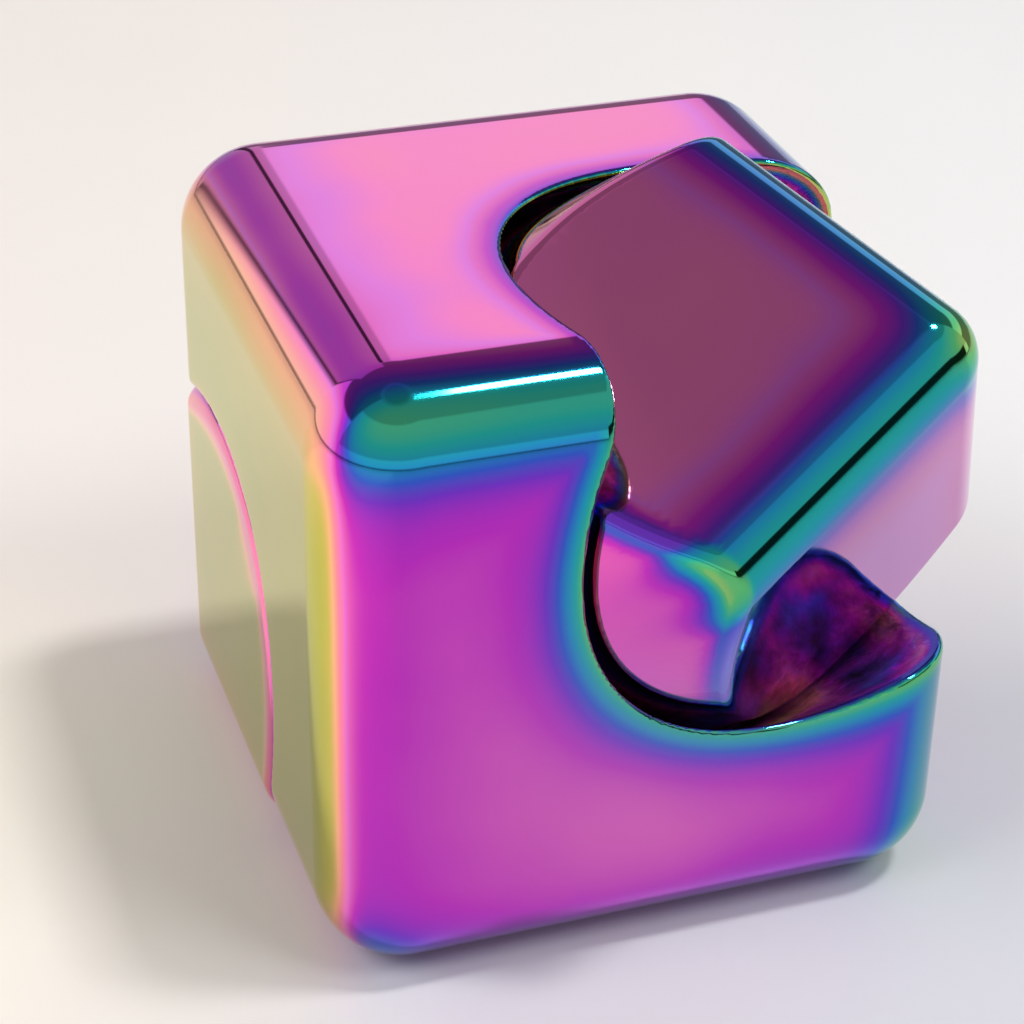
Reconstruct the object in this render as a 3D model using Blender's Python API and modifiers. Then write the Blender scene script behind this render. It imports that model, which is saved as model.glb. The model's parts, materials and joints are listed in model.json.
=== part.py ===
"""Cube spinner: a rounded metal cube whose two opposite corners spin on the cube's body diagonal.

The cube is 28 mm along an edge. A round socket is bored into each of two opposite corners, along
the diagonal between them, and leaves a web in the middle of the cube. An axle is pressed into the
web. A small ball bearing sits on each end of it, over a spacer, held by a washer and a screw, and
each spinning corner is pressed over the outer ring of its bearing.

All lengths are in metres. +Z is up, and the origin is under the middle of the object's box.
"""
import math

import bmesh
import bpy
from mathutils import Matrix, Vector

# Cube and corners
CUBE_EDGE = 0.028
BODY_EDGE_RADIUS = 0.0038
CORNER_EDGE_RADIUS = 0.0024
SOCKET_RADIUS = 0.01235
CORNER_RADIUS = 0.0118
WEB_THICKNESS = 0.0056
CORNER_LIFT = 0.0005
UPPER_SINK = 0.0006
LOWER_SINK = 0.0002
UPPER_TURN = math.radians(42)
LOWER_TURN = math.radians(0)
DIAGONAL = Vector((1, -1, 1)).normalized()

# Space that is left between two pieces that touch
GAP = 0.0003

# Ball bearing, 6.35 x 12.7 x 4.76 mm
BEARING_BORE = 0.00635
BEARING_DIAMETER = 0.0127
BEARING_WIDTH = 0.00476
PITCH_RADIUS = (BEARING_BORE + BEARING_DIAMETER) / 4
BALL_COUNT = 10
BALL_RADIUS = 0.00065
RACE_RADIUS = 0.0008
LAND_OFFSET = 0.00041
CAGE_HALF_THICKNESS = 0.00024
CAGE_HALF_HEIGHT = 0.0011
CAGE_POCKET_RADIUS = 0.00075
SHIELD_THICKNESS = 0.00025
SHIELD_INSET = 0.0002
SHIELD_CLEARANCE = 0.0001

# Axle and what holds a bearing on it
AXLE_RADIUS = BEARING_BORE / 2 - GAP
SPACER_THICKNESS = 0.0008
SPACER_RADIUS = 0.0042
WASHER_THICKNESS = 0.0006
WASHER_RADIUS = 0.0042
SCREW_RADIUS = 0.0015
SCREW_LENGTH = 0.0055
SCREW_HEAD_RADIUS = 0.0027
SCREW_HEAD_HEIGHT = 0.0016
SCREW_HEAD_BEVEL = 0.0006
SCREW_SOCKET_RADIUS = 0.00115
SCREW_SOCKET_DEPTH = 0.0009
TAPPED_DEPTH = 0.0053
HEAD_ROOM = 0.0008
HEAD_POCKET_RADIUS = 0.0047

# Heights along the diagonal, from the middle of the cube
WEB_FACE = WEB_THICKNESS / 2
CORNER_BACK = WEB_FACE + CORNER_LIFT
SPACER_LOW = WEB_FACE + GAP
BEARING_LOW = SPACER_LOW + SPACER_THICKNESS + GAP
BEARING_MIDDLE = BEARING_LOW + BEARING_WIDTH / 2
BEARING_HIGH = BEARING_LOW + BEARING_WIDTH
AXLE_END = BEARING_HIGH - GAP
WASHER_LOW = BEARING_HIGH + GAP
HEAD_LOW = WASHER_LOW + WASHER_THICKNESS + GAP
HEAD_POCKET_TOP = HEAD_LOW + SCREW_HEAD_HEIGHT + HEAD_ROOM

# Fineness of the round shapes
BEVEL_SEGMENTS = 5
CAST_STEPS = 64
BEARING_STEPS = 24
RACE_POINTS = 5
BALL_SEGMENTS = 8
BALL_RINGS = 6
POCKET_STEPS = 12
SHARP_ANGLE = math.radians(35)
WELD_DISTANCE = 0.00001

# Colour, metallic and roughness of each finish
FINISHES = {
    "violet_coat": ((0.55, 0.10, 0.60, 1), 1.0, 0.08),
    "plum_coat": ((0.38, 0.12, 0.42, 1), 1.0, 0.08),
    "gold_green_coat": ((0.55, 0.55, 0.25, 1), 1.0, 0.08),
    "bearing_steel": ((0.60, 0.61, 0.63, 1), 1.0, 0.20),
    "stamped_steel": ((0.50, 0.50, 0.51, 1), 1.0, 0.32),
    "brass": ((0.72, 0.55, 0.26, 1), 1.0, 0.30),
    "black_oxide": ((0.05, 0.05, 0.055, 1), 1.0, 0.40),
}


def clear_scene():
    for old in list(bpy.data.objects):
        bpy.data.objects.remove(old)


def make_collection(name):
    collection = bpy.data.collections.new(name)
    bpy.context.scene.collection.children.link(collection)
    return collection


def make_material(name):
    colour, metallic, roughness = FINISHES[name]
    material = bpy.data.materials.new(name)
    material.use_nodes = True
    shader = material.node_tree.nodes["Principled BSDF"]
    shader.inputs["Base Color"].default_value = colour
    shader.inputs["Metallic"].default_value = metallic
    shader.inputs["Roughness"].default_value = roughness
    return material


def make_empty(name, parent, rotation=None):
    empty = bpy.data.objects.new(name, None)
    empty.empty_display_size = CUBE_EDGE / 4
    empty.parent = parent
    if rotation is not None:
        empty.rotation_mode = "QUATERNION"
        empty.rotation_quaternion = rotation
    parts.objects.link(empty)
    return empty


def place(name, mesh, parent, height=0.0, collection=None):
    """An object with this mesh, at a height along its parent's Z axis."""
    piece = bpy.data.objects.new(name, mesh)
    piece.parent = parent
    piece.location.z = height
    (collection or parts).objects.link(piece)
    return piece


def cutter(name, mesh, parent, height=0.0):
    tool = place(name, mesh, parent, height, cutters)
    tool.hide_render = True
    tool.display_type = "WIRE"
    return tool


def profile_mesh(name, outline, closed):
    """A turned shape's profile in the XZ plane: (radius, height) points, down its outer side."""
    mesh = bpy.data.meshes.new(name)
    count = len(outline)
    edges = [(i, (i + 1) % count) for i in range(count if closed else count - 1)]
    mesh.from_pydata([(radius, 0, height) for radius, height in outline], edges, [])
    return mesh


def add_screw(piece, steps):
    screw = piece.modifiers.new("turn", "SCREW")
    screw.axis = "Z"
    screw.angle = 2 * math.pi
    screw.steps = steps
    screw.render_steps = steps
    screw.use_merge_vertices = True
    screw.merge_threshold = WELD_DISTANCE
    screw.use_smooth_shade = True


def add_boolean(piece, operation, tool):
    cut = piece.modifiers.new(operation.lower(), "BOOLEAN")
    cut.operation = operation
    cut.solver = "EXACT"
    cut.object = tool


def turned_ring(name, outline, parent, height):
    ring = place(name, profile_mesh(name, outline, closed=True), parent, height)
    add_screw(ring, BEARING_STEPS)
    return ring


def washer_outline(inner, outer, thickness):
    return [(outer, thickness), (outer, 0), (inner, 0), (inner, thickness)]


def cylinder_mesh(name, radius, low, high, steps):
    mesh = bpy.data.meshes.new(name)
    shape = bmesh.new()
    middle = Matrix.Translation((0, 0, (low + high) / 2))
    bmesh.ops.create_cone(shape, cap_ends=True, segments=steps, radius1=radius, radius2=radius,
                          depth=high - low, matrix=middle)
    shape.to_mesh(mesh)
    shape.free()
    return mesh


def add_rounded_cube(name, parent, edge_radius):
    """The whole cube, centred on its parent, with round edges."""
    mesh = bpy.data.meshes.new(name)
    shape = bmesh.new()
    bmesh.ops.create_cube(shape, size=CUBE_EDGE)
    shape.to_mesh(mesh)
    shape.free()
    cube = place(name, mesh, parent)
    bevel = cube.modifiers.new("round_edges", "BEVEL")
    bevel.width = edge_radius
    bevel.segments = BEVEL_SEGMENTS
    bevel.limit_method = "NONE"
    return cube


def add_body(centre, sides):
    body = add_rounded_cube("cube_body", centre, BODY_EDGE_RADIUS)
    for side, spin_axis in sides.items():
        socket = cylinder_mesh(f"{side}_socket", SOCKET_RADIUS, WEB_FACE, CUBE_EDGE, CAST_STEPS)
        add_boolean(body, "DIFFERENCE", cutter(f"{side}_socket", socket, spin_axis))
    bore = cylinder_mesh("axle_bore", AXLE_RADIUS + GAP, -CUBE_EDGE / 4, CUBE_EDGE / 4, BEARING_STEPS)
    add_boolean(body, "DIFFERENCE", cutter("axle_bore", bore, sides["upper"]))
    return body


def add_corner(side, spin_axis, centre, outward, sink, turn):
    """A corner of the cube in its socket, sunk along and turned about the diagonal, with a pocket."""
    corner = add_rounded_cube(f"{side}_corner", centre, CORNER_EDGE_RADIUS)
    corner.location = -sink * outward
    corner.rotation_mode = "QUATERNION"
    corner.rotation_quaternion = Matrix.Rotation(turn, 4, outward).to_quaternion()
    sleeve = cylinder_mesh(f"{side}_sleeve", CORNER_RADIUS, CORNER_BACK, CUBE_EDGE, CAST_STEPS)
    add_boolean(corner, "INTERSECT", cutter(f"{side}_sleeve", sleeve, spin_axis))
    pocket = [
        (0, HEAD_POCKET_TOP),
        (HEAD_POCKET_RADIUS, HEAD_POCKET_TOP),
        (HEAD_POCKET_RADIUS, BEARING_HIGH + GAP),
        (BEARING_DIAMETER / 2 + GAP, BEARING_HIGH + GAP),
        (BEARING_DIAMETER / 2 + GAP, 0),
        (0, 0),
    ]
    tool = cutter(f"{side}_pocket", profile_mesh(f"{side}_pocket", pocket, closed=False), spin_axis)
    add_screw(tool, 2 * BEARING_STEPS)
    add_boolean(corner, "DIFFERENCE", tool)
    return corner


def add_axle(spin_axis):
    """A plain pin through the web, with a blind tapped hole in each end."""
    hole = SCREW_RADIUS + GAP
    outline = [
        (0, AXLE_END - TAPPED_DEPTH),
        (hole, AXLE_END - TAPPED_DEPTH),
        (hole, AXLE_END),
        (AXLE_RADIUS, AXLE_END),
        (AXLE_RADIUS, -AXLE_END),
        (hole, -AXLE_END),
        (hole, TAPPED_DEPTH - AXLE_END),
        (0, TAPPED_DEPTH - AXLE_END),
    ]
    axle = place("axle", profile_mesh("axle", outline, closed=False), spin_axis)
    add_screw(axle, BEARING_STEPS)
    return axle


def race_arc(direction):
    """The groove that the balls run in, top to bottom: direction -1 inside the balls, +1 outside."""
    half_angle = math.acos(LAND_OFFSET / RACE_RADIUS)
    points = []
    for step in range(RACE_POINTS):
        angle = half_angle * (1 - 2 * step / (RACE_POINTS - 1))
        radius = PITCH_RADIUS + direction * RACE_RADIUS * math.cos(angle)
        points.append((radius, RACE_RADIUS * math.sin(angle)))
    return points


def add_bearing(side, spin_axis):
    """The bearing's pieces, by name. Its inner ring stays with the axle."""
    half = BEARING_WIDTH / 2
    bore = BEARING_BORE / 2
    rim = BEARING_DIAMETER / 2
    inner_land = PITCH_RADIUS - LAND_OFFSET
    outer_land = PITCH_RADIUS + LAND_OFFSET
    inner_outline = [(inner_land, half), *race_arc(-1), (inner_land, -half), (bore, -half), (bore, half)]
    outer_outline = [(rim, half), (rim, -half), (outer_land, -half), *reversed(race_arc(1)),
                     (outer_land, half)]
    prefix = f"{side}_bearing"
    pieces = {
        "inner_ring": turned_ring(f"{prefix}_inner_ring", inner_outline, spin_axis, BEARING_MIDDLE),
        "outer_ring": turned_ring(f"{prefix}_outer_ring", outer_outline, spin_axis, BEARING_MIDDLE),
    }
    shield = washer_outline(inner_land + SHIELD_CLEARANCE, outer_land - SHIELD_CLEARANCE, SHIELD_THICKNESS)
    shield_heights = {
        "back_shield": BEARING_LOW + SHIELD_INSET,
        "front_shield": BEARING_HIGH - SHIELD_INSET - SHIELD_THICKNESS,
    }
    for shield_name, height in shield_heights.items():
        pieces[shield_name] = turned_ring(f"{prefix}_{shield_name}", shield, spin_axis, height)
    pieces["cage"] = add_cage(prefix, spin_axis)
    return pieces


def around_pitch_circle():
    """The place of each ball: its turn about the bearing's axis and its distance from the axis."""
    for index in range(BALL_COUNT):
        turn = Matrix.Rotation(2 * math.pi * index / BALL_COUNT, 4, "Z")
        yield turn @ Matrix.Translation((PITCH_RADIUS, 0, 0))


def add_balls(side, spin_axis, mesh):
    """The bearing's balls, which share one mesh."""
    balls = []
    for index, spot in enumerate(around_pitch_circle(), start=1):
        ball = place(f"{side}_bearing_ball_{index:02d}", mesh, spin_axis, BEARING_MIDDLE)
        ball.location.x = spot.translation.x
        ball.location.y = spot.translation.y
        balls.append(ball)
    return balls


def ball_mesh():
    mesh = bpy.data.meshes.new("bearing_ball")
    shape = bmesh.new()
    bmesh.ops.create_uvsphere(shape, u_segments=BALL_SEGMENTS, v_segments=BALL_RINGS, radius=BALL_RADIUS)
    shape.to_mesh(mesh)
    shape.free()
    return mesh


def add_cage(prefix, spin_axis):
    """A band between the two rings, with a round window for each ball."""
    band = washer_outline(PITCH_RADIUS - CAGE_HALF_THICKNESS, PITCH_RADIUS + CAGE_HALF_THICKNESS,
                          2 * CAGE_HALF_HEIGHT)
    cage = turned_ring(f"{prefix}_cage", band, spin_axis, BEARING_MIDDLE - CAGE_HALF_HEIGHT)
    mesh = bpy.data.meshes.new(f"{prefix}_windows")
    shape = bmesh.new()
    sideways = Matrix.Rotation(math.pi / 2, 4, "Y")
    for spot in around_pitch_circle():
        bmesh.ops.create_cone(shape, cap_ends=True, segments=POCKET_STEPS, radius1=CAGE_POCKET_RADIUS,
                              radius2=CAGE_POCKET_RADIUS, depth=5 * CAGE_HALF_THICKNESS,
                              matrix=spot @ sideways)
    shape.to_mesh(mesh)
    shape.free()
    add_boolean(cage, "DIFFERENCE", cutter(f"{prefix}_windows", mesh, spin_axis, BEARING_MIDDLE))
    return cage


def add_screw_piece(side, spin_axis):
    """A button-head screw with a hexagon socket, pointing down its side's axle end."""
    top = SCREW_HEAD_HEIGHT
    outline = [
        (0, top),
        (SCREW_HEAD_RADIUS - SCREW_HEAD_BEVEL, top),
        (SCREW_HEAD_RADIUS, top - SCREW_HEAD_BEVEL),
        (SCREW_HEAD_RADIUS, 0),
        (SCREW_RADIUS, 0),
        (SCREW_RADIUS, -SCREW_LENGTH),
        (0, -SCREW_LENGTH),
    ]
    name = f"{side}_screw"
    screw = place(name, profile_mesh(name, outline, closed=False), spin_axis, HEAD_LOW)
    add_screw(screw, BEARING_STEPS)
    hexagon = cylinder_mesh(f"{name}_socket", SCREW_SOCKET_RADIUS, top - SCREW_SOCKET_DEPTH, 2 * top, 6)
    add_boolean(screw, "DIFFERENCE", cutter(f"{name}_socket", hexagon, spin_axis, HEAD_LOW))
    return screw


def settle(piece, material):
    """Make the modified shape the object's own mesh, smooth on its round faces."""
    mesh = piece.data
    if piece.modifiers:
        evaluated = piece.evaluated_get(bpy.context.evaluated_depsgraph_get())
        mesh = bpy.data.meshes.new_from_object(evaluated)
        piece.modifiers.clear()
        piece.data = mesh
    mesh.materials.clear()
    mesh.materials.append(material)
    mesh.shade_smooth()
    mesh.set_sharp_from_angle(angle=SHARP_ANGLE)


def stand_on_origin(centre, pieces):
    """Move the whole object so that the middle of its box's underside is the origin."""
    bpy.context.view_layer.update()
    corners = [piece.matrix_world @ vertex.co for piece in pieces for vertex in piece.data.vertices]
    low = [min(corner[axis] for corner in corners) for axis in range(3)]
    high = [max(corner[axis] for corner in corners) for axis in range(3)]
    centre.location -= Vector(((low[0] + high[0]) / 2, (low[1] + high[1]) / 2, low[2]))


clear_scene()
parts = make_collection("cube_spinner")
cutters = make_collection("cutters")
finish = {name: make_material(name) for name in FINISHES}

cube_centre = make_empty("cube_centre", None)
spin_axes = {
    "upper": make_empty("upper_spin_axis", cube_centre, DIAGONAL.to_track_quat("Z", "Y")),
    "lower": make_empty("lower_spin_axis", cube_centre, (-DIAGONAL).to_track_quat("Z", "Y")),
}

made = [
    (add_body(cube_centre, spin_axes), "violet_coat"),
    (add_corner("upper", spin_axes["upper"], cube_centre, DIAGONAL, UPPER_SINK, UPPER_TURN),
     "plum_coat"),
    (add_corner("lower", spin_axes["lower"], cube_centre, -DIAGONAL, LOWER_SINK, LOWER_TURN),
     "gold_green_coat"),
    (add_axle(spin_axes["upper"]), "bearing_steel"),
]
shared_ball = ball_mesh()
for side_name, side_axis in spin_axes.items():
    spacer_shape = washer_outline(BEARING_BORE / 2, SPACER_RADIUS, SPACER_THICKNESS)
    washer_shape = washer_outline(SCREW_RADIUS + GAP, WASHER_RADIUS, WASHER_THICKNESS)
    bearing = add_bearing(side_name, side_axis)
    made += [
        (turned_ring(f"{side_name}_spacer", spacer_shape, side_axis, SPACER_LOW), "brass"),
        (turned_ring(f"{side_name}_washer", washer_shape, side_axis, WASHER_LOW), "stamped_steel"),
        (add_screw_piece(side_name, side_axis), "black_oxide"),
        (bearing["inner_ring"], "bearing_steel"),
        (bearing["outer_ring"], "bearing_steel"),
        (bearing["back_shield"], "stamped_steel"),
        (bearing["front_shield"], "stamped_steel"),
        (bearing["cage"], "brass"),
    ]
    made += [(ball, "bearing_steel") for ball in add_balls(side_name, side_axis, shared_ball)]

bpy.context.view_layer.update()
for made_piece, finish_name in made:
    settle(made_piece, finish[finish_name])
stand_on_origin(cube_centre, [made_piece for made_piece, finish_name in made])
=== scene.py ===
"""Looks of the cube spinner: a rainbow-coated metal cube with two corners that spin on its diagonal.

The three coated castings are rebuilt as fine meshes from the formulas of their shapes, so that the
mirror finish has exact normals. The bearings, axle, washers and screws are the CAD nodes themselves.
Lengths are in metres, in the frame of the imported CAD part.
"""
import json
import math

import bmesh
import bpy
import numpy as np
from mathutils import Matrix, Quaternion, Vector


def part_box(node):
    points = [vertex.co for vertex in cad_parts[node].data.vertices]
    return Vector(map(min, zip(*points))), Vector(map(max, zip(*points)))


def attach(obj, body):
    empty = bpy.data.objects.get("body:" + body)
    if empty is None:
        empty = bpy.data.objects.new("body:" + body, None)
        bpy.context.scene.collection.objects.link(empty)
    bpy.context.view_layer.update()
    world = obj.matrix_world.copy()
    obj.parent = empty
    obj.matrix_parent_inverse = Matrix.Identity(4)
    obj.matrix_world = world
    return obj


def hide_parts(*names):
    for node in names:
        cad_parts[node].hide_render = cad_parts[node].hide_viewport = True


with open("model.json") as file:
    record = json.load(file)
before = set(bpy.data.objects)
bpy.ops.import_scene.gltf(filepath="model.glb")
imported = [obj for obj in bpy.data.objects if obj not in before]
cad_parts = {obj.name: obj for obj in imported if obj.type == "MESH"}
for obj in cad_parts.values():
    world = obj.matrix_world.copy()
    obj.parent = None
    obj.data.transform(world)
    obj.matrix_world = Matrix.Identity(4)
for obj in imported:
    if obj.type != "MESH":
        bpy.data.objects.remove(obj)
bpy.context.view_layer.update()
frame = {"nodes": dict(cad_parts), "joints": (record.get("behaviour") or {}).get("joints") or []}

# The cube's place and its spin axis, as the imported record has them
SPIN = next(joint for joint in frame["joints"] if joint["name"] == "upper_corner_spin")
CENTRE = np.array(SPIN["pos_m"])
DIAGONAL = np.array(SPIN["axis"]) / np.linalg.norm(SPIN["axis"])
CUBE_EDGE = (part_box("cube_body")[1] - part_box("cube_body")[0]).x
HALF_EDGE = CUBE_EDGE / 2

# Shape of the castings
BODY_EDGE_RADIUS = 0.0038
CORNER_EDGE_RADIUS = 0.0024
SOCKET_RADIUS = 0.01235
SOCKET_RIM_ROUND = 0.0004
SOCKET_FLOOR_ROUND = 0.0010
CORNER_RADIUS = 0.0118
CORNER_RIM_ROUND = 0.0009
CORNER_BACK_ROUND = 0.0003
WEB_FACE = 0.0028
CORNER_BACK = 0.0033
BORE_RADIUS = 0.003175
BORE_ROUND = 0.00025
POCKET_RADIUS = 0.00665
POCKET_TOP = 0.00926
HEAD_POCKET_RADIUS = 0.0047
HEAD_POCKET_TOP = 0.01256
POCKET_ROUND = 0.0002
UPPER_SINK = 0.0006
LOWER_SINK = 0.0002
UPPER_TURN = math.radians(42)
LOWER_TURN = 0.0

# Fineness of the rebuilt meshes: lattice steps, triangles kept, and the longest edge left on a face
BODY_STEP = 0.00018
CORNER_STEP = 0.00016
BODY_TRIANGLES = 90000
CORNER_TRIANGLES = 50000
LONGEST_EDGE = 0.0007
SPLIT_ROUNDS = 6
BLOCK = 4
NORMAL_STEP = 0.00001
PROJECTION_ROUNDS = 4

# A corner's lattice: how far it goes beyond the cube, and how far back past the cube's middle
TURNED_REACH = 0.0045
BACK_REACH = 0.75 * HALF_EDGE

# Camera, about a point near the cube's middle
AIM_OFFSET = Vector((-0.0018, 0.0004, -0.0004))
CAMERA_AZIMUTH = math.radians(-19.16)
CAMERA_ELEVATION = math.radians(31.06)
CAMERA_ROLL = math.radians(1.05)
CAMERA_DISTANCE = 0.1185
CAMERA_LENS = 93.6
SENSOR_WIDTH = 36

# The table runs a metre and a half each way. Behind the cube it is painted lighter, in a soft step of
# painted light and shade.
TABLE_REACH = 1.5
LIGHT_STEP_TURN = CAMERA_AZIMUTH
LIGHT_STEP_START = (0.006, 0.020)
TONE_SPAN = (-0.035, 0.025)


def srgb(red, green, blue):
    """A shader colour from an everyday 0-255 colour."""
    levels = [channel / 255 for channel in (red, green, blue)]
    linear = [
        ((level + 0.055) / 1.055) ** 2.4 if level > 0.04045 else level / 12.92 for level in levels
    ]
    return (*linear, 1.0)


# Colours of the coat as its film gets thicker, from 0 to 1
COAT_COLOURS = [
    (0.00, srgb(170, 180, 62)),
    (0.08, srgb(202, 188, 90)),
    (0.15, srgb(252, 184, 140)),
    (0.22, srgb(253, 145, 165)),
    (0.295, srgb(250, 122, 198)),
    (0.325, srgb(228, 112, 222)),
    (0.36, srgb(228, 92, 194)),
    (0.42, srgb(198, 42, 197)),
    (0.52, srgb(120, 50, 205)),
    (0.60, srgb(50, 90, 205)),
    (0.68, srgb(25, 145, 195)),
    (0.77, srgb(30, 175, 165)),
    (0.86, srgb(90, 195, 120)),
    (0.94, srgb(190, 210, 105)),
    (1.00, srgb(235, 190, 130)),
]

# Colours from left to right of the near table and of the lighter far table, and of the coat's haze
# Painted light: the near table's warm left is a painted glow, and the far table's lighter tone is
# painted light
TABLE_TONES = [(0.0, srgb(236, 227, 214)), (0.5, srgb(198, 197, 202)), (1.0, srgb(196, 198, 204))]
LIT_FAR_TONES = [(0.0, srgb(221, 214, 209)), (1.0, srgb(221, 220, 220))]
HAZE_COLOUR = srgb(214, 205, 216)

# The coat: its clear top, how much its film drifts, and its smudges' and cast skin's roughness
COAT_WEIGHT = 0.22
FILM_DRIFT = 0.035
CAST_GRAIN = 0.24
CAST_METALLIC = 0.55
CAST_ROUGHNESS = 0.28
SMUDGE_ROUGHNESS = (0.03, 0.09)
# Painted shade in the sockets' hollows: the cast skin's colour is multiplied by patches between these
# factors
SOCKET_SHADE_TONES = (0.02, 1.1)

# Film on the middle of each face of the body and of the spinning corners, by the face's direction
BODY_FILM = {"-x": 0.02, "+x": 0.36, "-y": 0.41, "+y": 0.30, "-z": 0.40, "+z": 0.28}
UPPER_FILM = {"-x": 0.36, "+x": 0.31, "-y": 0.33, "+y": 0.36, "-z": 0.38, "+z": 0.285}
LOWER_FILM = {"-x": 0.02, "+x": 0.30, "-y": 0.30, "+y": 0.22, "-z": 0.34, "+z": 0.30}
FACE_SHARPNESS = 6

# How much more some faces count than others on the round edge between them
FACE_PULL = {"-y": 14.0, "-x": 2.2}

# Extra film on each edge: how much, and how far it spreads over the first and the second face.
# Where edges meet, their film adds up by this power.
EDGE_POWER = 1.5
BODY_EDGES = {
    ("+z", "-y"): (0.40, 0.0013, 0.0020),
    ("+z", "-x"): (0.16, 0.0014, 0.0024),
    ("+z", "+x"): (0.36, 0.0018, 0.0022),
    ("+z", "+y"): (0.16, 0.0012, 0.0022),
    ("-y", "+x"): (0.30, 0.0020, 0.0022),
    ("-y", "-x"): (0.02, 0.0012, 0.0012),
    ("-y", "-z"): (0.08, 0.0022, 0.0022),
    ("-x", "+y"): (0.10, 0.0018, 0.0022),
    ("-x", "-z"): (0.10, 0.0018, 0.0022),
    ("+x", "+y"): (0.30, 0.0022, 0.0022),
    ("+x", "-z"): (0.34, 0.0022, 0.0022),
    ("+y", "-z"): (0.24, 0.0022, 0.0022),
}
UPPER_EDGES = {
    ("+z", "-y"): (0.44, 0.0021, 0.0026),
    ("+z", "+x"): (0.37, 0.0015, 0.0022),
    ("-y", "+x"): (0.06, 0.0020, 0.0020),
}
LOWER_EDGES = {
    ("-x", "+y"): (0.10, 0.0018, 0.0018),
    ("-x", "-z"): (0.10, 0.0018, 0.0018),
    ("+y", "-z"): (0.20, 0.0018, 0.0018),
}

# How much of an edge's extra film is lost on its second face, by that face
FADE_TO = {"-x": 0.2}

AXES = {"x": 0, "y": 1, "z": 2}

# Film round the rims of the body's two sockets. On the top face the upper rim has less of it, over
# less width, and to the right it has more width.
UPPER_RIM_FILM = 0.56
UPPER_RIM_WIDTH = 0.00095
LOWER_RIM_FILM = 0.14
LOWER_RIM_WIDTH = 0.0004
TOP_RIM_LESS_FILM = 0.22
TOP_RIM_LESS_WIDTH = 0.0003
RIGHT_RIM_MORE_WIDTH = 0.0004
RIGHT_RIM_SPAN = (0.004, 0.012)
RIM_POWER = 1.2

# Film inside the sockets, and how deep under the cube's outline it becomes full
SOCKET_FILM = 0.35
SOCKET_DEPTHS = (0.0003, 0.0010)

# A little more film on the left part of the top face
LILAC_FILM = 0.035
LILAC_SPAN = (0.0055, 0.0095)

# A hazy spot with less film in the middle of the front face
MIDDLE_SPOT = np.array([-0.001, -HALF_EDGE, -0.005])
MIDDLE_WIDTH = 0.0085
MIDDLE_LESS_FILM = 0.06
MIDDLE_HAZE = 0.10

# More film at the bottom, front, left vertex
LOW_VERTEX = HALF_EDGE * np.array([-0.9, -1, -0.9])
LOW_VERTEX_WIDTH = 0.0022
LOW_VERTEX_FILM = 0.16

# Each corner: film on its round flank, how much less on the flank's far side, how much more where two
# faces and the flank meet, and the front face's haze
UPPER_FLANK = {"flank_film": 0.355, "far_side_drop": 0.20, "vertex_film": 0.30, "haze": 0.24}
LOWER_FLANK = {"flank_film": 0.22, "far_side_drop": 0.0, "vertex_film": 0.0, "haze": 0.0}

# How deep under a corner's faces its flank begins, and how deep and how far inside its flank's radius
# the cast skin of its back begins
FLANK_DEPTHS = (0.0001, 0.0006)
BACK_DEPTHS = (0.0020, 0.0030)
BACK_GAPS = (0.0004, 0.0010)

# Film along the crease between a corner's faces and its flank, up to where two faces meet it
CREASE_FILM = 0.24
CREASE_FLAT = 0.0004
CREASE_WIDTH = 0.00032
CREASE_MORE_WIDTH = 0.0005
CREASE_POWER = 1.3
CREASE_SPAN = (0.2, 0.8)
VERTEX_REACH = 0.98

# From the axis to where the upper corner's top and front faces run into its round flank
VERTEX_DIRECTION = np.array([-1.0, 0, 0]) + DIAGONAL[0] * DIAGONAL
VERTEX_DIRECTION /= np.linalg.norm(VERTEX_DIRECTION)


# ---------------------------------------------------------------- shapes as distance formulas


def round_and(first, second, radius):
    """What is inside both shapes, with an edge of this radius where their surfaces meet."""
    corner = np.hypot(np.maximum(first + radius, 0), np.maximum(second + radius, 0))
    return np.minimum(-radius, np.maximum(first, second)) + corner


def fillet_and(first, second, agreement, radius):
    """What is inside both shapes, with a round edge of exactly this radius.

    agreement is the cosine of the angle between the directions in which the two fields grow.
    """
    a = first + radius
    b = second + radius
    across = (a - b * agreement > 0) & (b - a * agreement > 0)
    spread = np.maximum(1 - agreement * agreement, 1e-6)
    to_edge = np.sqrt(np.maximum(a * a + b * b - 2 * a * b * agreement, 0) / spread)
    return np.where(across, to_edge, np.maximum(a, b)) - radius


def along_diagonal(points):
    return points @ DIAGONAL


def from_diagonal(points):
    return np.linalg.norm(points - np.outer(along_diagonal(points), DIAGONAL), axis=1)


def rounded_cube(points, radius):
    beyond = np.abs(points) - (HALF_EDGE - radius)
    outside = np.linalg.norm(np.maximum(beyond, 0), axis=1)
    return outside + np.minimum(beyond.max(axis=1), 0) - radius


def rounded_cube_slope(points, radius):
    """Direction in which rounded_cube grows."""
    beyond = np.abs(points) - (HALF_EDGE - radius)
    slope = np.maximum(beyond, 0)
    deep = slope.max(axis=1) <= 0
    slope[deep, beyond[deep].argmax(axis=1)] = 1
    return np.sign(points) * slope / np.linalg.norm(slope, axis=1)[:, None]


def body_field(points):
    """The cube with a round socket in two opposite corners and a bore through the web between them."""
    field = rounded_cube(points, BODY_EDGE_RADIUS)
    distance = from_diagonal(points)
    for side in (1, -1):
        height = side * along_diagonal(points)
        socket = round_and(distance - SOCKET_RADIUS, WEB_FACE - height, SOCKET_FLOOR_ROUND)
        field = round_and(field, -socket, SOCKET_RIM_ROUND)
    return round_and(field, BORE_RADIUS - distance, BORE_ROUND)


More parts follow.
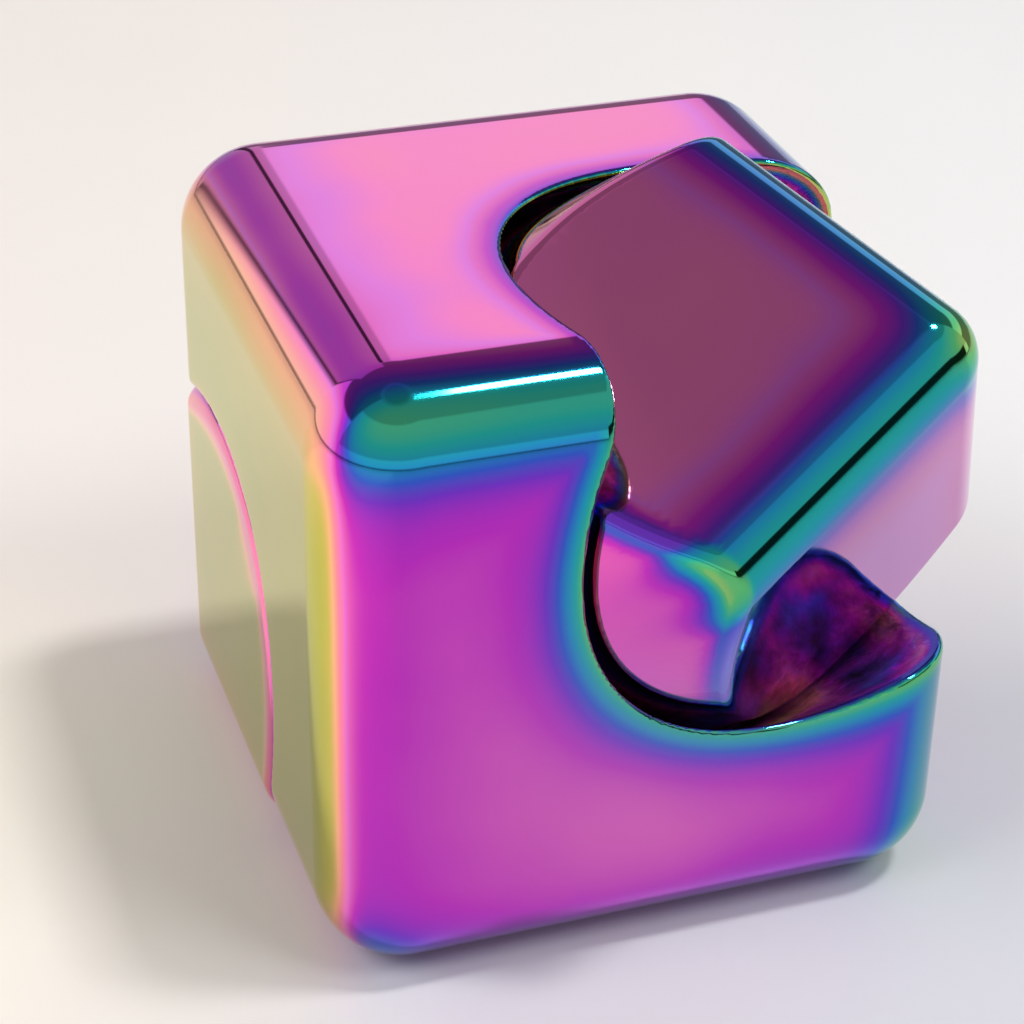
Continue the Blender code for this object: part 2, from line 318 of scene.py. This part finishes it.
def corner_field(side, sink, turn):
    """A spinning corner: the cube sunk and turned, cut to a round plug, with its bearing's pocket."""
    outward = side * DIAGONAL
    turn_back = np.array(Matrix.Rotation(turn, 3, Vector(outward)))

    def field(points):
        height = side * along_diagonal(points)
        distance = from_diagonal(points)
        own_points = (points + sink * outward) @ turn_back
        cube = rounded_cube(own_points, CORNER_EDGE_RADIUS)
        cube_slope = rounded_cube_slope(own_points, CORNER_EDGE_RADIUS) @ turn_back.T
        radial = points - np.outer(along_diagonal(points), DIAGONAL)
        agreement = (cube_slope * radial).sum(axis=1) / np.maximum(distance, 1e-9)
        plug = fillet_and(cube, distance - CORNER_RADIUS, agreement, CORNER_RIM_ROUND)
        plug = round_and(plug, CORNER_BACK - height, CORNER_BACK_ROUND)
        pocket = round_and(distance - POCKET_RADIUS, height - POCKET_TOP, POCKET_ROUND)
        plug = round_and(plug, -pocket, POCKET_ROUND)
        head_pocket = round_and(distance - HEAD_POCKET_RADIUS, height - HEAD_POCKET_TOP, POCKET_ROUND)
        return round_and(plug, -head_pocket, POCKET_ROUND)

    return field


def gradient(field, points):
    """Direction in which the field grows, by central differences."""
    slopes = []
    for axis in np.eye(3):
        ahead = field(points + NORMAL_STEP * axis)
        behind = field(points - NORMAL_STEP * axis)
        slopes.append((ahead - behind) / (2 * NORMAL_STEP))
    return np.stack(slopes, axis=1)


# ---------------------------------------------------------------- meshes from the formulas


def lattice_values(field, low, high, step):
    """The field on a lattice of this step.

    Blocks far from the surface keep the value at their middle.
    """
    counts = np.ceil((high - low) / (BLOCK * step)).astype(int)
    blocks = np.stack(np.meshgrid(*[np.arange(count) for count in counts], indexing="ij"), axis=-1)
    middles = low + (blocks.reshape(-1, 3) + 0.5) * BLOCK * step - 0.5 * step
    coarse = field(middles).reshape(counts)
    value = coarse
    for axis in range(3):
        value = np.repeat(value, BLOCK, axis=axis)
    close = np.argwhere(np.abs(value) < 1.5 * BLOCK * step)
    value = value.copy()
    value[tuple(close.T)] = field(low + close * step)
    return value


CELL_CORNERS = np.array([(i, j, k) for i in (0, 1) for j in (0, 1) for k in (0, 1)])
CELL_EDGES = [
    (a, b)
    for a in range(8)
    for b in range(a + 1, 8)
    if np.abs(CELL_CORNERS[a] - CELL_CORNERS[b]).sum() == 1
]


def cell_points(value):
    """Each cell that the surface crosses, and the middle of where it crosses the cell's edges."""
    inside = value < 0
    sizes = [size - 1 for size in value.shape]
    count = np.zeros(sizes, np.int8)
    for corner in CELL_CORNERS:
        count += inside[tuple(slice(start, start + size) for start, size in zip(corner, sizes))]
    touched = (count > 0) & (count < 8)
    cells = np.argwhere(touched)
    levels = np.stack([value[tuple((cells + corner).T)] for corner in CELL_CORNERS], axis=1)
    total = np.zeros((len(cells), 3))
    crossings = np.zeros(len(cells))
    for a, b in CELL_EDGES:
        crossed = (levels[:, a] < 0) != (levels[:, b] < 0)
        span = np.where(crossed, levels[:, a] - levels[:, b], 1)
        share = np.where(crossed, levels[:, a] / span, 0)
        spot = CELL_CORNERS[a] + share[:, None] * (CELL_CORNERS[b] - CELL_CORNERS[a])
        total += spot * crossed[:, None]
        crossings += crossed
    return touched, cells + total / crossings[:, None]


def surface_quads(value, index):
    """One quad for each lattice edge that the surface crosses, wound to face outward."""
    quads = []
    for axis in range(3):
        near = [slice(1, -1)] * 3
        far = [slice(1, -1)] * 3
        near[axis] = slice(0, -1)
        far[axis] = slice(1, None)
        inside = value[tuple(near)] < 0
        crossed = inside != (value[tuple(far)] < 0)
        spots = np.argwhere(crossed)
        leaving = inside[crossed]
        first, second = [other for other in range(3) if other != axis]
        if axis == 1:
            first, second = second, first
        spots[:, first] += 1
        spots[:, second] += 1
        around = []
        for back_first, back_second in ((1, 1), (0, 1), (0, 0), (1, 0)):
            cell = spots.copy()
            cell[:, first] -= back_first
            cell[:, second] -= back_second
            around.append(index[tuple(cell.T)])
        ring = np.stack(around, axis=1)
        ring[~leaving] = ring[~leaving][:, ::-1]
        quads.append(ring)
    return np.concatenate(quads)


def settle_on(field, points):
    """The points moved onto the field's surface."""
    for _ in range(PROJECTION_ROUNDS):
        slope = gradient(field, points)
        steepness = np.maximum((slope * slope).sum(axis=1), 0.25)
        points = points - slope * (field(points) / steepness)[:, None]
    return points


def thinned(mesh, triangles):
    """A copy of the mesh with about this many triangles, the most where it curves."""
    now = sum(len(polygon.vertices) - 2 for polygon in mesh.polygons)
    carrier = bpy.data.objects.new("carrier", mesh)
    bpy.context.scene.collection.objects.link(carrier)
    decimate = carrier.modifiers.new("thin", "DECIMATE")
    decimate.ratio = min(1.0, triangles / now)
    bpy.context.view_layer.update()
    settled = carrier.evaluated_get(bpy.context.evaluated_depsgraph_get())
    copy = bpy.data.meshes.new_from_object(settled)
    bpy.data.objects.remove(carrier)
    bpy.data.meshes.remove(mesh)
    return copy


def split_long_edges(mesh):
    """Points inside the flat faces too, so that the film isn't only known at their borders."""
    cloth = bmesh.new()
    cloth.from_mesh(mesh)
    for _ in range(SPLIT_ROUNDS):
        long_edges = [edge for edge in cloth.edges if edge.calc_length() > LONGEST_EDGE]
        bmesh.ops.subdivide_edges(cloth, edges=long_edges, cuts=1)
        bmesh.ops.triangulate(cloth, faces=[face for face in cloth.faces if len(face.verts) > 3])
    cloth.to_mesh(mesh)
    cloth.free()


def cast_mesh(name, field, low, high, step, triangles):
    """A mesh of the field's surface with its exact normals, and its points from the cube's middle."""
    value = lattice_values(field, low, high, step)
    touched, spots = cell_points(value)
    index = np.full(touched.shape, -1)
    index[touched] = np.arange(len(spots))
    quads = surface_quads(value, index)
    mesh = bpy.data.meshes.new(name)
    mesh.from_pydata(settle_on(field, low + spots * step).tolist(), [], quads.tolist())
    mesh = thinned(mesh, triangles)
    split_long_edges(mesh)
    mesh.name = name
    points = np.empty(len(mesh.vertices) * 3)
    mesh.vertices.foreach_get("co", points)
    points = settle_on(field, points.reshape(-1, 3))
    normals = gradient(field, points)
    normals /= np.linalg.norm(normals, axis=1)[:, None]
    mesh.vertices.foreach_set("co", (points + CENTRE).ravel())
    mesh.shade_smooth()
    mesh.normals_split_custom_set_from_vertices(normals.tolist())
    return mesh, points, normals


def store(mesh, name, values):
    attribute = mesh.attributes.new(name, "FLOAT", "POINT")
    attribute.data.foreach_set("value", np.asarray(values, np.float32))


# ---------------------------------------------------------------- where the film is thick


def signed_axis(name):
    return (1 if name[0] == "+" else -1), AXES[name[1]]


def facing(normals, name):
    """How squarely each normal faces this way, 0 to 1."""
    sign, axis = signed_axis(name)
    return np.maximum(sign * normals[:, axis], 0)


def fade(values, start, end):
    """0 at start, 1 at end, and smooth between them."""
    share = np.clip((values - start) / (end - start), 0, 1)
    return share * share * (3 - 2 * share)


def near(gap, width, power=1.5):
    """1 where the gap is 0, fading away over this width."""
    return np.exp(-((np.maximum(gap, 0) / width) ** power))


def face_film(normals, films):
    """Film from the faces' own values, mixed by how squarely each face is faced."""
    total = np.zeros(len(normals))
    weight = np.zeros(len(normals))
    for name, film in films.items():
        share = FACE_PULL.get(name, 1.0) * facing(normals, name) ** FACE_SHARPNESS
        total += share * film
        weight += share
    return total / weight


def edge_film(points, normals, edges, radius):
    """The extra film of all edges, each by the distance from its ridge."""
    ridge = radius * (math.sqrt(2) - 1)
    total = np.zeros(len(points))
    for (first, second), (amount, first_width, second_width) in edges.items():
        gaps = []
        for name in (first, second):
            sign, axis = signed_axis(name)
            gaps.append(HALF_EDGE - sign * points[:, axis])
        towards = facing(normals, second) ** 2
        towards = towards / np.maximum(towards + facing(normals, first) ** 2, 1e-6)
        width = first_width + (second_width - first_width) * towards
        kept = 1 - fade(towards, 0, 1) * FADE_TO.get(second, 0)
        reached = amount * near(np.hypot(*gaps) - ridge, width) * kept
        total = (total**EDGE_POWER + reached**EDGE_POWER) ** (1 / EDGE_POWER)
    return total


def distance_to(points, spot):
    return np.linalg.norm(points - spot, axis=1)


def rim_film(points, normals):
    """The body's extra film round its two sockets."""
    upper = fade(along_diagonal(points), -0.001, 0.001)
    top = facing(normals, "+z") ** 2
    right = fade(points[:, 0], *RIGHT_RIM_SPAN)
    upper_amount = UPPER_RIM_FILM - TOP_RIM_LESS_FILM * top
    amount = upper * upper_amount + (1 - upper) * LOWER_RIM_FILM
    upper_width = UPPER_RIM_WIDTH - TOP_RIM_LESS_WIDTH * top
    width = upper * upper_width + (1 - upper) * LOWER_RIM_WIDTH
    width = width + RIGHT_RIM_MORE_WIDTH * upper * right
    return amount * near(from_diagonal(points) - SOCKET_RADIUS, width, RIM_POWER)


def build_body():
    """The cube's body, with its film painted on and cast skin in the sockets."""
    reach = np.full(3, HALF_EDGE + 2 * BODY_STEP)
    mesh, points, normals = cast_mesh(
        "cube_shell", body_field, -reach, reach, BODY_STEP, BODY_TRIANGLES
    )
    depth = -rounded_cube(points, BODY_EDGE_RADIUS)
    inside = fade(depth, *SOCKET_DEPTHS)
    edges = edge_film(points, normals, BODY_EDGES, BODY_EDGE_RADIUS)
    film = face_film(normals, BODY_FILM)
    film = film + np.maximum(edges, rim_film(points, normals))
    lilac = fade(-points[:, 0], *LILAC_SPAN) * facing(normals, "+z") ** 4
    film = film + LILAC_FILM * lilac
    film = film * (1 - inside) + inside * SOCKET_FILM
    middle = near(distance_to(points, MIDDLE_SPOT), MIDDLE_WIDTH, 2)
    film = film + LOW_VERTEX_FILM * near(distance_to(points, LOW_VERTEX), LOW_VERTEX_WIDTH)
    film = film - MIDDLE_LESS_FILM * middle * facing(normals, "-y") ** 4
    store(mesh, "film", np.clip(film, 0, 1))
    store(mesh, "cast", inside)
    store(mesh, "haze", MIDDLE_HAZE * middle)
    return bpy.data.objects.new("cube_shell", mesh)


def build_corner(
    name, side, sink, turn, films, edges, flank_film, far_side_drop, vertex_film, haze
):
    """A spinning corner, with the film of its faces, ridges and flank painted on."""
    field = corner_field(side, sink, turn)
    high = np.full(3, HALF_EDGE + TURNED_REACH)
    low = -high
    for axis in range(3):
        if side * DIAGONAL[axis] > 0:
            low[axis] = -BACK_REACH
        else:
            high[axis] = BACK_REACH
    mesh, points, normals = cast_mesh(name, field, low, high, CORNER_STEP, CORNER_TRIANGLES)
    outward = side * DIAGONAL
    turn_back = np.array(Matrix.Rotation(turn, 3, Vector(outward)))
    own_points = (points + sink * outward) @ turn_back
    own_normals = normals @ turn_back
    depth = -rounded_cube(own_points, CORNER_EDGE_RADIUS)
    distance = from_diagonal(points)
    flank = fade(depth, *FLANK_DEPTHS)
    cast = fade(CORNER_RADIUS - distance, *BACK_GAPS) * fade(depth, *BACK_DEPTHS)
    film = face_film(own_normals, films) * (1 - flank)
    ridges = edge_film(own_points, own_normals, edges, CORNER_EDGE_RADIUS)
    radial = own_points - np.outer(own_points @ DIAGONAL, DIAGONAL)
    radial /= np.maximum(np.linalg.norm(radial, axis=1), 1e-9)[:, None]
    toward_vertex = radial @ VERTEX_DIRECTION
    film = film + flank * (flank_film - far_side_drop * fade(0.3 - toward_vertex, 0, 0.5))
    at_vertex = fade(toward_vertex, VERTEX_REACH, 1.0)
    from_crease = np.hypot(depth, CORNER_RADIUS - distance) - CREASE_FLAT
    crease = near(from_crease, CREASE_WIDTH + CREASE_MORE_WIDTH * at_vertex, CREASE_POWER)
    amount = CREASE_FILM * fade(toward_vertex, *CREASE_SPAN) + vertex_film * at_vertex
    film = film + np.maximum(ridges * (1 - flank), amount * crease)
    store(mesh, "film", np.clip(film, 0, 1))
    store(mesh, "cast", cast)
    clear = 1 - np.minimum(1, 4 * ridges)
    store(mesh, "haze", haze * facing(own_normals, "-y") ** 2 * clear)
    return bpy.data.objects.new(name, mesh)


# ---------------------------------------------------------------- materials


def new_material(name):
    material = bpy.data.materials.new(name)
    material.use_nodes = True
    tree = material.node_tree
    return material, tree, tree.nodes["Principled BSDF"]


def add_node(tree, kind, **values):
    node = tree.nodes.new(kind)
    for key, value in values.items():
        if key in node.inputs:
            node.inputs[key].default_value = value
        else:
            setattr(node, key, value)
    return node


def attribute(tree, name):
    return add_node(tree, "ShaderNodeAttribute", attribute_name=name).outputs["Fac"]


def noise(tree, scale, detail=3.0, roughness=0.5):
    place = add_node(tree, "ShaderNodeTexCoord").outputs["Object"]
    node = add_node(tree, "ShaderNodeTexNoise", Scale=scale, Detail=detail, Roughness=roughness)
    tree.links.new(place, node.inputs["Vector"])
    return node.outputs["Fac"]


def remap(tree, source, low, high, from_low=0.0, from_high=1.0):
    node = add_node(tree, "ShaderNodeMapRange")
    node.inputs["From Min"].default_value = from_low
    node.inputs["From Max"].default_value = from_high
    node.inputs["To Min"].default_value = low
    node.inputs["To Max"].default_value = high
    tree.links.new(source, node.inputs["Value"])
    return node.outputs["Result"]


def math_node(tree, operation, *values):
    node = add_node(tree, "ShaderNodeMath", operation=operation)
    for socket, value in zip(node.inputs, values):
        if isinstance(value, (int, float)):
            socket.default_value = value
        else:
            tree.links.new(value, socket)
    return node.outputs[0]


def ramp(tree, source, stops):
    node = add_node(tree, "ShaderNodeValToRGB")
    elements = node.color_ramp.elements
    while len(elements) > 1:
        elements.remove(elements[-1])
    elements[0].position, elements[0].color = stops[0]
    for position, colour in stops[1:]:
        elements.new(position).color = colour
    tree.links.new(source, node.inputs["Fac"])
    return node.outputs["Color"]


def mixed(tree, factor, first, second, blend_type="MIX"):
    """Two colours mixed. The factor is a number or another node's value."""
    node = add_node(tree, "ShaderNodeMix", data_type="RGBA", blend_type=blend_type)
    if isinstance(factor, float):
        node.inputs["Factor"].default_value = factor
    else:
        tree.links.new(factor, node.inputs["Factor"])
    tree.links.new(first, node.inputs["A"])
    tree.links.new(second, node.inputs["B"])
    return node.outputs["Result"]


def rainbow_coat():
    """Mirror-bright metal under a coloured film. The film and the cast skin are painted on the mesh."""
    material, tree, shader = new_material("rainbow_coat")
    shader.inputs["Coat Weight"].default_value = COAT_WEIGHT
    cast = attribute(tree, "cast")
    drift = remap(tree, noise(tree, 110, 2), -FILM_DRIFT, FILM_DRIFT)
    grain = remap(tree, noise(tree, 190, 4), -CAST_GRAIN, CAST_GRAIN, 0.32, 0.68)
    film = math_node(tree, "ADD", attribute(tree, "film"), drift)
    film = math_node(tree, "ADD", film, math_node(tree, "MULTIPLY", grain, cast))
    colour = ramp(tree, film, COAT_COLOURS)
    tree.links.new(remap(tree, cast, 1.0, CAST_METALLIC), shader.inputs["Metallic"])
    # Painted shade: the cast skin in the sockets' hollows is darkened in patches, down to nearly black
    socket_shade = remap(tree, noise(tree, 240, 6, 0.65), *SOCKET_SHADE_TONES, 0.38, 0.68)
    shaded_colour = mixed(tree, cast, colour, socket_shade, "MULTIPLY")
    bloom = add_node(tree, "ShaderNodeMix", data_type="RGBA")
    bloom.inputs["B"].default_value = HAZE_COLOUR
    tree.links.new(attribute(tree, "haze"), bloom.inputs["Factor"])
    tree.links.new(shaded_colour, bloom.inputs["A"])
    tree.links.new(bloom.outputs["Result"], shader.inputs["Base Color"])
    smudge = remap(tree, noise(tree, 160, 5), *SMUDGE_ROUGHNESS)
    rough = math_node(tree, "ADD", smudge, math_node(tree, "MULTIPLY", cast, CAST_ROUGHNESS))
    tree.links.new(rough, shader.inputs["Roughness"])
    skin = math_node(tree, "MULTIPLY", noise(tree, 700, 5, 0.6), cast)
    bump = add_node(tree, "ShaderNodeBump", Strength=0.55, Distance=0.0004)
    tree.links.new(skin, bump.inputs["Height"])
    tree.links.new(bump.outputs["Normal"], shader.inputs["Normal"])
    return material


def worn_metal(name, colour, roughness, scale):
    """Bare or blackened metal with turning marks and a little tarnish."""
    material, tree, shader = new_material(name)
    shader.inputs["Metallic"].default_value = 1.0
    tarnish = noise(tree, 400, 4)
    dark = tuple(0.72 * channel for channel in colour[:3]) + (1.0,)
    tree.links.new(ramp(tree, tarnish, [(0.3, dark), (0.65, colour)]), shader.inputs["Base Color"])
    marks = remap(tree, noise(tree, scale, 3), roughness * 0.7, roughness * 1.4)
    tree.links.new(marks, shader.inputs["Roughness"])
    bump = add_node(tree, "ShaderNodeBump", Strength=0.08, Distance=0.0001)
    tree.links.new(noise(tree, scale, 2), bump.inputs["Height"])
    tree.links.new(bump.outputs["Normal"], shader.inputs["Normal"])
    return material


def table_top():
    """White table, painted lighter behind the cube and warm on its left: painted light and shade."""
    material, tree, shader = new_material("table_top")
    place = add_node(tree, "ShaderNodeTexCoord").outputs["Object"]
    turned = add_node(tree, "ShaderNodeMapping", vector_type="TEXTURE")
    turned.inputs["Rotation"].default_value = (0, 0, LIGHT_STEP_TURN)
    tree.links.new(place, turned.inputs["Vector"])
    split = add_node(tree, "ShaderNodeSeparateXYZ")
    tree.links.new(turned.outputs["Vector"], split.inputs[0])
    # Painted light and shade: lighter towards the far table, and a painted warm glow on the near
    # table's left
    far = remap(tree, split.outputs["Y"], 0, 1, *LIGHT_STEP_START)
    right = remap(tree, split.outputs["X"], 0, 1, *TONE_SPAN)
    tone = mixed(tree, far, ramp(tree, right, TABLE_TONES), ramp(tree, right, LIT_FAR_TONES))
    mottle = remap(tree, noise(tree, 60, 5), 0.97, 1.0)
    tree.links.new(mixed(tree, 1.0, tone, mottle, "MULTIPLY"), shader.inputs["Base Color"])
    tree.links.new(remap(tree, noise(tree, 300, 4), 0.30, 0.42), shader.inputs["Roughness"])
    shader.inputs["Specular IOR Level"].default_value = 0.25
    return material


# Colour, roughness and fineness of the marks of each bare metal
METALS = {
    "ground_steel": (srgb(198, 199, 202), 0.26, 2500),
    "bearing_steel": (srgb(208, 209, 212), 0.16, 3000),
    "stamped_steel": (srgb(184, 184, 187), 0.34, 1800),
    "brass": (srgb(210, 184, 120), 0.30, 2200),
    "brass_cage": (srgb(206, 178, 112), 0.34, 1800),
    "black_oxide": (srgb(58, 58, 62), 0.40, 2000),
}


def finish_cad_nodes():
    """The mechanism keeps its CAD meshes and gets a worn finish for each material."""
    finishes = {name: worn_metal(name + "_finish", *look) for name, look in METALS.items()}
    for node in frame["nodes"].values():
        for place in node.material_slots:
            name = place.material.name.split(".")[0] if place.material else ""
            if name in finishes:
                place.material = finishes[name]


# ---------------------------------------------------------------- room, light and camera


# Parts of the room: azimuth range, elevation range, softness, all in degrees, and brightness.
# Azimuth 0 is straight behind the cube and 90 is to its right. Later parts cover earlier ones.
ROOM_PARTS = [
    ((-180, 180), (52, 200), 1.0, 0.40),
    ((-90, 90), (36, 75), 2.0, 0.20),
    ((-200, 200), (76, 200), 3.0, 0.24),
    ((-90, 90), (-5, 21.4), 1.0, 0.22),
    ((6, 90), (19, 36), 1.0, 0.97),
    ((-25, 4), (-5, 45), 1.0, 0.54),
    ((6, 12), (10, 36), 1.0, 0.62),
    ((3.5, 6.3), (-5, 36), 0.4, 0.05),
    ((-27.2, -25), (-5, 36), 0.4, 0.03),
    ((-90, -26.5), (-5, 36), 1.0, 1.00),
    ((90, 200), (-5, 11), 1.0, 0.95),
    ((-200, -90), (-5, 11), 1.0, 0.95),
    ((100, 160), (-2, 14), 1.0, 0.02),
    ((-200, 200), (-1.5, 1.2), 0.7, 0.30),
]

# A lamp overhead: where it lies across and back, as parts of a unit direction, and its brightness
LAMP_ACROSS = (0.268, 0.40)
LAMP_BACK = (-0.155, -0.055)
LAMP_LEVEL = 100.0
LAMP_SOFTNESS = 0.005

# Brightness where no part covers it: from the first level to the second between these elevations
CEILING_LEVELS = (0.62, 0.24)
CEILING_SPAN = (50, 78)


def window(tree, value, low, high, soft):
    """1 where the value is between low and high, with soft ends."""
    rise = remap(tree, value, 0, 1, low - soft, low + soft)
    fall = remap(tree, value, 1, 0, high - soft, high + soft)
    return math_node(tree, "MULTIPLY", rise, fall)


def brightness(tree, base, mask, level):
    """The base level, turned to another level where the mask is 1."""
    change = math_node(tree, "MULTIPLY", mask, math_node(tree, "SUBTRACT", level, base))
    return math_node(tree, "ADD", base, change)


def build_room():
    """What the mirror finish sees: a pale room with darker parts, by direction."""
    world = bpy.data.worlds.new("room")
    world.use_nodes = True
    bpy.context.scene.world = world
    tree = world.node_tree
    direction = add_node(tree, "ShaderNodeTexCoord").outputs["Generated"]
    split = add_node(tree, "ShaderNodeSeparateXYZ")
    tree.links.new(direction, split.inputs[0])
    across, back, up = split.outputs
    azimuth = math_node(tree, "DEGREES", math_node(tree, "ARCTAN2", across, back))
    elevation = math_node(tree, "DEGREES", math_node(tree, "ARCSINE", up))
    level = remap(tree, elevation, *CEILING_LEVELS, *CEILING_SPAN)
    for azimuths, elevations, soft, value in ROOM_PARTS:
        in_azimuth = window(tree, azimuth, *azimuths, soft)
        in_elevation = window(tree, elevation, *elevations, soft)
        mask = math_node(tree, "MULTIPLY", in_azimuth, in_elevation)
        level = brightness(tree, level, mask, value)
    lamp = window(tree, up, 0.5, 2, 0.01)
    for part, (low, high) in ((across, LAMP_ACROSS), (back, LAMP_BACK)):
        lamp = math_node(tree, "MULTIPLY", lamp, window(tree, part, low, high, LAMP_SOFTNESS))
    level = brightness(tree, level, lamp, LAMP_LEVEL)
    background = tree.nodes["Background"]
    background.inputs["Color"].default_value = (1.0, 1.0, 1.0, 1.0)
    tree.links.new(level, background.inputs["Strength"])


def add_light(name, place, size, power, colour):
    data = bpy.data.lights.new(name, "AREA")
    data.shape = "DISK"
    data.size = size
    data.energy = power
    data.color = colour
    light = bpy.data.objects.new(name, data)
    bpy.context.scene.collection.objects.link(light)
    light.location = Vector(CENTRE) + Vector(place)
    light.rotation_mode = "QUATERNION"
    light.rotation_quaternion = (-Vector(place)).to_track_quat("-Z", "Y")
    light.visible_glossy = False


def build_stage():
    mesh = bpy.data.meshes.new("table")
    signs = ((-1, -1), (1, -1), (1, 1), (-1, 1))
    corners = [(across * TABLE_REACH, back * TABLE_REACH, 0) for across, back in signs]
    mesh.from_pydata(corners, [], [(0, 1, 2, 3)])
    mesh.materials.append(table_top())
    table = bpy.data.objects.new("table", mesh)
    bpy.context.scene.collection.objects.link(table)
    add_light("key_light", (0.24, -0.26, 0.42), 0.20, 0.85, (1.0, 0.99, 0.98))
    add_light("fill_light", (-0.35, -0.05, 0.35), 0.30, 1.05, (1.0, 0.97, 0.94))


def add_camera():
    data = bpy.data.cameras.new("camera")
    data.lens = CAMERA_LENS
    data.sensor_width = SENSOR_WIDTH
    data.clip_start = 0.005
    camera = bpy.data.objects.new("camera", data)
    bpy.context.scene.collection.objects.link(camera)
    flat = math.cos(CAMERA_ELEVATION)
    outward = Vector((
        math.sin(CAMERA_AZIMUTH) * flat,
        -math.cos(CAMERA_AZIMUTH) * flat,
        math.sin(CAMERA_ELEVATION),
    ))
    camera.location = Vector(CENTRE) + AIM_OFFSET + CAMERA_DISTANCE * outward
    camera.rotation_mode = "QUATERNION"
    roll = Quaternion((0, 0, 1), CAMERA_ROLL)
    camera.rotation_quaternion = (-outward).to_track_quat("-Z", "Y") @ roll
    bpy.context.scene.camera = camera


def place_piece(piece, material, body, node):
    bpy.context.scene.collection.objects.link(piece)
    piece.data.materials.append(material)
    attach(piece, body)
    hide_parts(node)


coat = rainbow_coat()
place_piece(build_body(), coat, "cube", "cube_body")
upper_corner = build_corner(
    "upper_corner_shell", 1, UPPER_SINK, UPPER_TURN, UPPER_FILM, UPPER_EDGES, **UPPER_FLANK
)
place_piece(upper_corner, coat, "upper_spinner", "upper_corner")
lower_corner = build_corner(
    "lower_corner_shell", -1, LOWER_SINK, LOWER_TURN, LOWER_FILM, LOWER_EDGES, **LOWER_FLANK
)
place_piece(lower_corner, coat, "lower_spinner", "lower_corner")
finish_cad_nodes()
build_room()
build_stage()
add_camera()
bpy.context.scene.view_settings.view_transform = "Standard"
